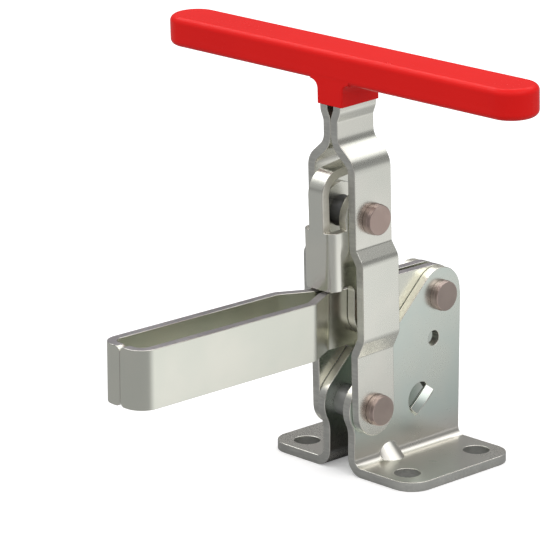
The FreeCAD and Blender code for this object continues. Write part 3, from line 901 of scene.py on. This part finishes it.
@dataclass
class BasePlates:
    """The two riveted uprights with their feet, each with a lanced tab and a crease in its foot bend.

    Attributes:
        skin: finish of the rolled faces.
        edge: finish of the cut edges, with a painted highlight where they face up.
        outer: distance of the uprights' outer faces from the mid-plane.
        window: Y and Z of the window's centre.
        tilt: how far the tab's root line is tilted from level.
        root: distance of the root line from the window's centre.
        old_tab: where the solid's own tab starts and ends along the root line.
        old_tab_reach: how far it can reach away from that line.
        flap_ends: where the lifted tab starts and ends along the root line.
        flap_lift: its angle out of the plate at these two ends.
        flap_length: its straight length past the bend at these two ends.
        flap_bend: inside radius of its bend.
        flap_lead: how much further its lower end leans away from the root line.
        flap_steps: lengths into which it is divided.
        bend_steps: facets of its bend, inside and outside.
        crease: where the solid's crease starts and ends across the foot bend.
        crease_reach: how far it reaches out and up.
        crease_stretch: how much wider it is made.
    """

    skin: PlatedSheet = PlatedSheet("base_skin", srgb(230, 236, 227), srgb(222, 233, 226), 0.28,
                                    low=srgb(232, 229, 221))
    # The base's cut edges carry a near-white painted highlight where they face up.
    edge: ShearedEdge = ShearedEdge("base_edge", srgb(214, 214, 208), srgb(196, 196, 191), 0.38,
                                    top_highlight=srgb(255, 252, 238))
    outer: float = 6.0 * MM
    window: tuple[float, float] = (4.9 * MM, 16.4 * MM)
    tilt: float = math.radians(37.8)
    root: float = 2.93 * MM
    old_tab: tuple[float, float] = (-4.6 * MM, 5.3 * MM)
    old_tab_reach: float = 4.8 * MM
    flap_ends: tuple[float, float] = (-4.4 * MM, 4.0 * MM)
    flap_lift: tuple[float, float] = (math.radians(61), math.radians(39))
    flap_length: tuple[float, float] = (1.35 * MM, 2.8 * MM)
    flap_bend: float = 0.5 * MM
    flap_lead: float = 0.4 * MM
    flap_steps: int = 8
    bend_steps: tuple[int, int] = (4, 7)
    crease: tuple[float, float] = (-11.25 * MM, -5.55 * MM)
    crease_reach: float = 4.3 * MM
    crease_stretch: float = 1.42

    def _near(self, point: Vector) -> tuple[float, float]:
        """Place of a point near the window.

        Args:
            point: the point.

        Returns:
            Distance along the tab's root line from the window's centre, and away from that line.
        """
        y, z = point.y - self.window[0], point.z - self.window[1]
        return (y * math.cos(self.tilt) + z * math.sin(self.tilt),
                z * math.cos(self.tilt) - y * math.sin(self.tilt) + self.root)

    def _point(self, along: float, away: float, out: float) -> Vector:
        """The point at a place near the window, the reverse of _near.

        Args:
            along: distance along the tab's root line from the window's centre.
            away: distance away from that line in the plate.
            out: distance from the mid-plane.

        Returns:
            The point.
        """
        away -= self.root
        return Vector((out, self.window[0] + along * math.cos(self.tilt) - away * math.sin(self.tilt),
                       self.window[1] + along * math.sin(self.tilt) + away * math.cos(self.tilt)))

    def _section(self, share: float) -> list[tuple[float, float]]:
        """Outline of the lifted tab across its length: a bend at the root line and a straight tip.

        Args:
            share: place along the tab, 0 at its lower end and 1 at its upper end.

        Returns:
            Distances away from the root line and out of the mid-plane, round the outline.
        """
        angle = self.flap_lift[0] + (self.flap_lift[1] - self.flap_lift[0]) * share
        length = self.flap_length[0] + (self.flap_length[1] - self.flap_length[0]) * share
        lead = self.flap_lead * (1 - share)
        centre = self.outer + self.flap_bend
        sides = []
        for radius, steps in zip((self.flap_bend, self.flap_bend + STOCK), self.bend_steps):
            side = [(radius * math.sin(angle * step / steps) + lead * step / steps,
                     centre - radius * math.cos(angle * step / steps)) for step in range(steps + 1)]
            away, out = side[-1]
            side.append((away + length * math.cos(angle), out + length * math.sin(angle)))
            sides.append(side)
        return sides[0] + sides[1][::-1]

    def _flatten_tab(self, mesh: bmesh.types.BMesh, side: float) -> None:
        """Press the solid's own tab flush into the upright, where it fills the root of the lifted one.

        Args:
            mesh: the plate.
            side: 1 for the right plate, -1 for the left one.
        """
        start, end = self.old_tab
        for vert in mesh.verts:
            along, away = self._near(vert.co)
            depth = abs(vert.co.x)
            if start < along < end and -TOUCH < away < self.old_tab_reach and depth < self.outer + TOUCH:
                depth = max(depth, self.outer - STOCK)
                vert.co = self._point(min(along, self.flap_ends[1]), away, side * depth)
        bmesh.ops.remove_doubles(mesh, verts=mesh.verts, dist=WELD)
        dissolve_empty_faces(mesh)

    def _add_flap(self, mesh: bmesh.types.BMesh, side: float) -> None:
        """Add the lifted tab, folded outwards and twisted a little along its length.

        Args:
            mesh: the plate.
            side: 1 for the right plate, -1 for the left one.
        """
        low, high = self.flap_ends
        rings = []
        for step in range(self.flap_steps + 1):
            share = step / self.flap_steps
            along = low + share * (high - low)
            rings.append([mesh.verts.new(self._point(along, away, side * out))
                          for away, out in self._section(share)])
        faces = [mesh.faces.new(rings[0]), mesh.faces.new(list(reversed(rings[-1])))]
        for first, second in zip(rings, rings[1:]):
            corners = zip(first, second, second[1:] + second[:1], first[1:] + first[:1])
            faces.extend(mesh.faces.new(four) for four in corners)
        bmesh.ops.recalc_face_normals(mesh, faces=faces)

    def _widen_crease(self, mesh: bmesh.types.BMesh) -> None:
        """Widen the crease across the foot bend towards the middle of the foot.

        Args:
            mesh: the plate.
        """
        start, end = self.crease
        for vert in mesh.verts:
            steps = (abs(vert.co.x) - self.outer, vert.co.z - STOCK)
            near = -2 * TOUCH < min(steps) and max(steps) < self.crease_reach
            if near and start < vert.co.y < end:
                vert.co.y = start + (vert.co.y - start) * self.crease_stretch

    def _press(self, mesh: bmesh.types.BMesh) -> None:
        """Work the tab and the crease into one plate."""
        side = 1.0 if sum(vert.co.x for vert in mesh.verts) > 0 else -1.0
        self._flatten_tab(mesh, side)
        self._add_flap(mesh, side)
        self._widen_crease(mesh)

    def build(self) -> None:
        """Dress both plates."""
        for side in ("right", "left"):
            WORKSHOP.plate("base_plate_" + side, "upright_" + side, "base", "base_steel", self.skin,
                           self.edge, shape=self._press)


@dataclass
class Pins:
    """The cross pins, their ends and the bushes on them.

    Attributes:
        warm: ends of the link's pins.
        warm_dark: darker tone of these ends.
        brown: ends of the base's pins.
        brown_dark: darker tone of these ends.
        side: round sides of all pins.
        side_dark: darker tone of the sides.
        link_pin_shade: painted shade, a dark tone on the middle of the link's upper pin between the link's
            flanges.
        handle_pin_shade: painted shade, a darker grey on the middle of the handle pin between the uprights.
        bush: the arm's bushes.
        bush_dark: darker tone of the bushes.
        handle_middle_half: half the length of the handle pin's middle.
        link_middle_half: half the length of the link pin's middle.
        side_roughness: roughness of the round sides.
        end_roughness: roughness of the flat ends.
        bush_roughness: roughness of the bushes.
        side_rings: strength of the tool rings on the sides.
    """

    warm: Colour = srgb(210, 190, 180)
    warm_dark: Colour = srgb(197, 177, 168)
    brown: Colour = srgb(177, 163, 155)
    brown_dark: Colour = srgb(166, 152, 145)
    side: Colour = srgb(202, 183, 175)
    side_dark: Colour = srgb(169, 150, 143)
    # Painted shade: the middles of the link's upper pin and of the handle pin lie between plates and are
    # given darker tones than the pins' sides.
    link_pin_shade: Colour = srgb(118, 118, 118)
    handle_pin_shade: Colour = srgb(168, 168, 166)
    bush: Colour = srgb(196, 192, 184)
    bush_dark: Colour = srgb(176, 172, 165)
    handle_middle_half: float = 3.8 * MM
    link_middle_half: float = 5.4 * MM
    side_roughness: float = 0.32
    end_roughness: float = 0.5
    bush_roughness: float = 0.36
    side_rings: float = 0.01

    def _pin(self, node: str, piece: str, body: str, end: Colour, end_dark: Colour,
             middle: Colour | None = None, middle_half: float = 4.0 * MM) -> None:
        """Dress one pin.

        Args:
            node: the pin's node.
            piece: the new piece's name.
            body: the body it rides on.
            end: colour of its flat ends.
            end_dark: darker tone of the ends.
            middle: colour of the painted shade on its middle length, if it has one.
            middle_half: half of that length.
        """
        centre = centre_of(node)
        side = TurnedSteel(piece + "_side", self.side, self.side_dark, centre, self.side_roughness,
                           self.side_rings, middle, middle_half)
        face = TurnedSteel(piece + "_end", end, end_dark, centre, self.end_roughness)
        WORKSHOP.turned(node, piece, body, "pin_steel", side, face)

    def _bush(self, place: str) -> None:
        """Dress one of the arm's two bushes."""
        node, piece = "arm_" + place + "_bush", "arm_bush_" + place
        steel = TurnedSteel(piece + "_steel", self.bush, self.bush_dark, centre_of(node),
                            self.bush_roughness)
        WORKSHOP.turned(node, piece, "arm", "bush_steel", steel, steel)

    def build(self) -> None:
        """Dress every pin and bush."""
        # The handle pin's middle between the uprights gets painted shade.
        self._pin("handle_pivot_pin", "handle_pin", "base", self.brown, self.brown_dark, self.handle_pin_shade,
                  self.handle_middle_half)
        for side in ("right", "left"):
            self._pin("arm_rivet_" + side, "arm_pin_end_" + side, "base", self.brown, self.brown_dark)
        self._pin("arm_rivet_core", "arm_pin_middle", "arm", self.brown, self.brown_dark)
        # The link pin's middle between the flanges gets painted shade.
        self._pin("link_top_pin", "link_pin", "handle", self.warm, self.warm_dark, self.link_pin_shade,
                  self.link_middle_half)
        self._pin("link_low_pin", "link_rivet", "link", self.warm, self.warm_dark)
        for place in ("front", "rear"):
            self._bush(place)


@dataclass
class Handle:
    """The two handle plates and the moulded grip.

    Attributes:
        skin: finish of the plates' rolled faces.
        vinyl: finish of the grip.
        strap_rim: how wide the plates' corners are broken.
        grip_rim: how wide the grip's corners are broken.
        grip_corner: a sharper edge of the grip than this angle is a corner.
    """

    skin: PlatedSheet = PlatedSheet("handle_skin", srgb(239, 238, 229), srgb(233, 234, 225), 0.27)
    vinyl: MouldedVinyl = MouldedVinyl("grip_vinyl", srgb(238, 31, 28), srgb(233, 29, 27),
                                       srgb(168, 150, 146))
    strap_rim: float = 0.22 * MM
    grip_rim: float = 0.12 * MM
    grip_corner: float = math.radians(40)

    def build(self) -> None:
        """Dress the plates and the grip."""
        for side in ("right", "left"):
            WORKSHOP.plate("handle_plate_" + side, "handle_strap_" + side, "handle", "handle_steel",
                           self.skin, rim=self.strap_rim)
        grip = Dresser("grip", "t_grip", "handle", "grip_red", Work.MOULDED, self.grip_rim,
                       self.grip_corner)
        grip.make([self.vinyl.material()])


@dataclass
class Link:
    """The folded link with its tongue.

    Attributes:
        skin: finish of the rolled faces.
        edge: finish of the cut edges, lighter than the other cut edges as a painted highlight of the
            tongue's side.
    """

    skin: PlatedSheet = PlatedSheet("link_skin", srgb(242, 241, 231), srgb(236, 237, 228), 0.25)
    # The link's cut edges are painted lighter. This painted highlight stands in for the light on the
    # tongue's side that faces the right.
    edge: ShearedEdge = ShearedEdge("link_edge_painted_highlight", srgb(240, 237, 226), srgb(228, 225, 214), 0.32)

    def build(self) -> None:
        """Dress the link."""
        WORKSHOP.plate("link", "folded_link", "link", "link_steel", self.skin, self.edge)


@dataclass
class Arm:
    """The two halves of the U-bar.

    Attributes:
        skin: finish of the rolled faces.
        edge: finish of the cut edges, darker than the other cut edges as painted shade of the arm's top
            edges.
    """

    skin: PlatedSheet = PlatedSheet("arm_skin", srgb(232, 232, 221), srgb(227, 229, 218), 0.26)
    # The arm's cut edges are painted darker. This painted shade stands in for the dim sky that the top
    # edges mirror.
    edge: ShearedEdge = ShearedEdge("arm_edge_painted_shade", srgb(184, 179, 181), srgb(163, 159, 161), 0.42)

    def build(self) -> None:
        """Dress both halves."""
        for side in ("right", "left"):
            WORKSHOP.plate("arm_" + side, "u_bar_" + side, "arm", "arm_steel", self.skin, self.edge)


@dataclass(frozen=True)
class Lamp:
    """One square soft lamp.

    Attributes:
        name: the lamp's name.
        place: where it hangs.
        size: length of its side.
        power: its watts.
    """

    name: str
    place: tuple[float, float, float]
    size: float
    power: float

    def hang(self, aim: Vector) -> None:
        """Hang the lamp so that it looks at a point."""
        data = bpy.data.lights.new(self.name, "AREA")
        data.shape = "SQUARE"
        data.size = self.size
        data.energy = self.power
        made = bpy.data.objects.new(self.name, data)
        bpy.context.scene.collection.objects.link(made)
        turned = (aim - Vector(self.place)).to_track_quat("-Z", "Y")
        made.matrix_world = Matrix.Translation(self.place) @ turned.to_matrix().to_4x4()


@dataclass
class Studio:
    """Pale floor, soft studio world, two lamps and the camera.

    Attributes:
        eye: the camera's place.
        azimuth: its direction round the clamp.
        elevation: how far it looks down.
        sensor: width of its sensor.
        lens: its focal length, in the sensor's unit.
        floor_size: length of the floor's side.
        floor_drop: how far the floor lies below the feet.
        floor_glow: how much the floor glows to the eye.
        floor_seen: colour of the floor to the eye.
        floor_bounce: its colour in the light that it throws back.
        floor_dim: lower brightness of the floor as it shows in the clamp.
        floor_bright: higher brightness there.
        floor_far: share of it that is left far to the right.
        pool_skew: how much the pool of light slants.
        pool_rise: where the pool sets in, from left to right.
        pool_fall: where it gets dimmer again.
        pool_front: where it sets in, from front to back.
        floor_contact: reach of the shade round the feet.
        sky_right: heights and brightness of the sky on the right, from nadir to zenith.
        sky_left: the same on the left.
        sky_blend: half the width of the blend between both.
        soft_heights: heights between which the unmirrored sky gets brighter.
        soft_levels: its brightness at these heights.
        lamps: the lamps.
        aim: the point that they look at.
    """

    eye: tuple[float, float, float] = (656.654 * MM, -687.956 * MM, 328.959 * MM)
    azimuth: float = math.radians(45.67)
    elevation: float = math.radians(16.22)
    sensor: float = 36.0
    lens: float = 3662.0 / 540.0 * 36.0
    floor_size: float = 8.0
    floor_drop: float = 0.05 * MM
    floor_glow: float = 0.238
    floor_seen: Colour = (0.93, 0.93, 0.93)
    floor_bounce: Colour = (0.38, 0.38, 0.38)
    floor_dim: float = 0.38
    floor_bright: float = 1.05
    floor_far: float = 0.66
    pool_skew: float = 0.5
    pool_rise: tuple[float, float] = (-20.0 * MM, 120.0 * MM)
    pool_fall: tuple[float, float] = (140.0 * MM, 240.0 * MM)
    pool_front: tuple[float, float] = (-120.0 * MM, -20.0 * MM)
    floor_contact: float = 90.0 * MM
    sky_right: tuple[tuple[float, float], ...] = (
        (0.0, 0.68), (0.49, 0.68), (0.56, 0.30), (0.70, 0.24), (0.775, 0.26), (0.81, 0.85), (0.85, 1.42),
        (0.91, 1.15), (1.0, 0.95))
    sky_left: tuple[tuple[float, float], ...] = (
        (0.0, 0.34), (0.49, 0.32), (0.58, 0.14), (0.71, 0.17), (0.79, 0.6), (0.85, 3.0), (0.91, 1.2),
        (1.0, 0.95))
    sky_blend: float = 0.45
    soft_heights: tuple[float, float] = (-0.4, 0.9)
    soft_levels: tuple[float, float] = (0.28, 1.25)
    lamps: tuple[Lamp, ...] = (Lamp("key", (0.8, 0.1, 1.2), 0.8, 2.0),
                               Lamp("fill", (-0.9, -0.9, 0.7), 0.9, 0.6))
    aim: tuple[float, float, float] = (0.0, -30.0 * MM, 50.0 * MM)

    def camera(self) -> None:
        """Place the camera."""
        turn, rise = self.azimuth, self.elevation
        right = Vector((math.cos(turn), math.sin(turn), 0.0))
        back = Vector((math.sin(turn) * math.cos(rise), -math.cos(turn) * math.cos(rise), math.sin(rise)))
        up = back.cross(right)
        data = bpy.data.cameras.new("camera")
        data.lens = self.lens
        data.sensor_width = self.sensor
        data.clip_start = 0.05
        data.clip_end = 50.0
        made = bpy.data.objects.new("camera", data)
        bpy.context.scene.collection.objects.link(made)
        placed = Matrix((right, up, back)).transposed().to_4x4()
        placed.translation = Vector(self.eye)
        made.matrix_world = placed
        bpy.context.scene.camera = made

    def _mirrored_floor(self, graph: Graph) -> bpy.types.NodeSocket:
        """How bright the floor shows in the clamp: a pool of light, dim in front and round the feet.

        Args:
            graph: the floor's graph.

        Returns:
            The brightness socket.
        """
        x, y, _ = graph.parts()
        along = graph.math("SUBTRACT", x, graph.math("MULTIPLY", y, self.pool_skew))
        risen = graph.ramp(along, *self.pool_rise, self.floor_dim, self.floor_bright)
        pool = graph.math("MULTIPLY", risen, graph.ramp(x, *self.pool_fall, 1.0, self.floor_far))
        beside = graph.ramp(y, *self.pool_front)
        before = graph.math("SUBTRACT", 1.0, beside)
        pool = graph.math("ADD", graph.math("MULTIPLY", pool, beside),
                          graph.math("MULTIPLY", before, self.floor_dim))
        near = graph.node("ShaderNodeAmbientOcclusion")
        near.samples = 8
        near.inputs["Distance"].default_value = self.floor_contact
        return graph.math("MULTIPLY", pool, near.outputs["AO"])

    def _floor_finish(self) -> bpy.types.Material:
        """Pale matt floor that glows a little to the eye and shows its own brightness in the clamp.

        Returns:
            The material.
        """
        material = bpy.data.materials.new("floor_white")
        material.use_nodes = True
        material.node_tree.nodes.clear()
        graph = Graph(material.node_tree)
        path = graph.node("ShaderNodeLightPath")
        matt = graph.node("ShaderNodeBsdfDiffuse")
        graph.link(graph.mix(path.outputs["Is Camera Ray"], self.floor_bounce, self.floor_seen),
                   matt.inputs["Color"])
        glow = graph.node("ShaderNodeEmission")
        graph.link(graph.math("MULTIPLY", path.outputs["Is Camera Ray"], self.floor_glow),
                   glow.inputs["Strength"])
        shown = graph.node("ShaderNodeAddShader")
        graph.link(matt.outputs[0], shown.inputs[0])
        graph.link(glow.outputs[0], shown.inputs[1])
        seen = graph.node("ShaderNodeEmission")
        graph.link(self._mirrored_floor(graph), seen.inputs["Strength"])
        both = graph.node("ShaderNodeMixShader")
        graph.link(graph.mirror_ray(path), both.inputs[0])
        graph.link(shown.outputs[0], both.inputs[1])
        graph.link(seen.outputs[0], both.inputs[2])
        graph.link(both.outputs[0], graph.node("ShaderNodeOutputMaterial").inputs[0])
        return material

    def floor(self) -> None:
        """Lay the pale floor, which keeps the shadow."""
        half = self.floor_size / 2
        data = bpy.data.meshes.new("floor")
        data.from_pydata([(-half, -half, 0), (half, -half, 0), (half, half, 0), (-half, half, 0)], [],
                         [(0, 1, 2, 3)])
        data.materials.append(self._floor_finish())
        made = bpy.data.objects.new("floor", data)
        made.location.z = -self.floor_drop
        bpy.context.scene.collection.objects.link(made)

    @staticmethod
    def _sky_tone(graph: Graph, lifted: bpy.types.NodeSocket,
                  stops: tuple[tuple[float, float], ...]) -> bpy.types.NodeSocket:
        """Brightness of the sky from nadir to zenith.

        Args:
            graph: the world's graph.
            lifted: height in the sky, 0 at the nadir and 1 at the zenith.
            stops: heights with their brightness.

        Returns:
            The colour socket.
        """
        ramp = graph.node("ShaderNodeValToRGB")
        ramp.color_ramp.interpolation = "EASE"
        line = ramp.color_ramp.elements
        while len(line) < len(stops):
            line.new(0.5)
        for stop, (place, level) in zip(line, stops):
            stop.position = place
            stop.color = (level, level, level, 1.0)
        graph.link(lifted, ramp.inputs[0])
        return ramp.outputs[0]

    def world(self) -> None:
        """Light the clamp with a plain studio sky: bright overhead, a dim band behind it, pale sides."""
        world = bpy.data.worlds.new("studio")
        world.use_nodes = True
        world.node_tree.nodes.clear()
        graph = Graph(world.node_tree)
        across, _, height = graph.parts("Generated")
        lifted = graph.math("MULTIPLY", graph.math("ADD", height, 1.0), 0.5)
        left, right = (self._sky_tone(graph, lifted, stops) for stops in (self.sky_left, self.sky_right))
        tone = graph.mix(graph.ramp(across, -self.sky_blend, self.sky_blend), left, right)
        plain = graph.ramp(height, *self.soft_heights, *self.soft_levels)
        path = graph.node("ShaderNodeLightPath")
        soft = graph.mix(graph.mirror_ray(path), plain, tone)
        clear = graph.mix(path.outputs["Is Camera Ray"], soft, (1.0, 1.0, 1.0))
        sky = graph.node("ShaderNodeBackground")
        graph.link(clear, sky.inputs["Color"])
        graph.link(sky.outputs[0], graph.node("ShaderNodeOutputWorld").inputs[0])
        bpy.context.scene.world = world

    def build(self) -> None:
        """Make the whole studio."""
        self.camera()
        self.floor()
        self.world()
        for lamp in self.lamps:
            lamp.hang(Vector(self.aim))
        bpy.context.scene.view_settings.view_transform = "Standard"


def main() -> None:
    """Build the studio and dress every sub-assembly."""
    logging.basicConfig(level=logging.INFO, format="%(name)s: %(message)s")
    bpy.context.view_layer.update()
    for part in (Studio(), BasePlates(), Pins(), Link(), Arm(), Handle()):
        part.build()
        log.info("%s done", type(part).__name__)


if __name__ == "__main__":
    main()
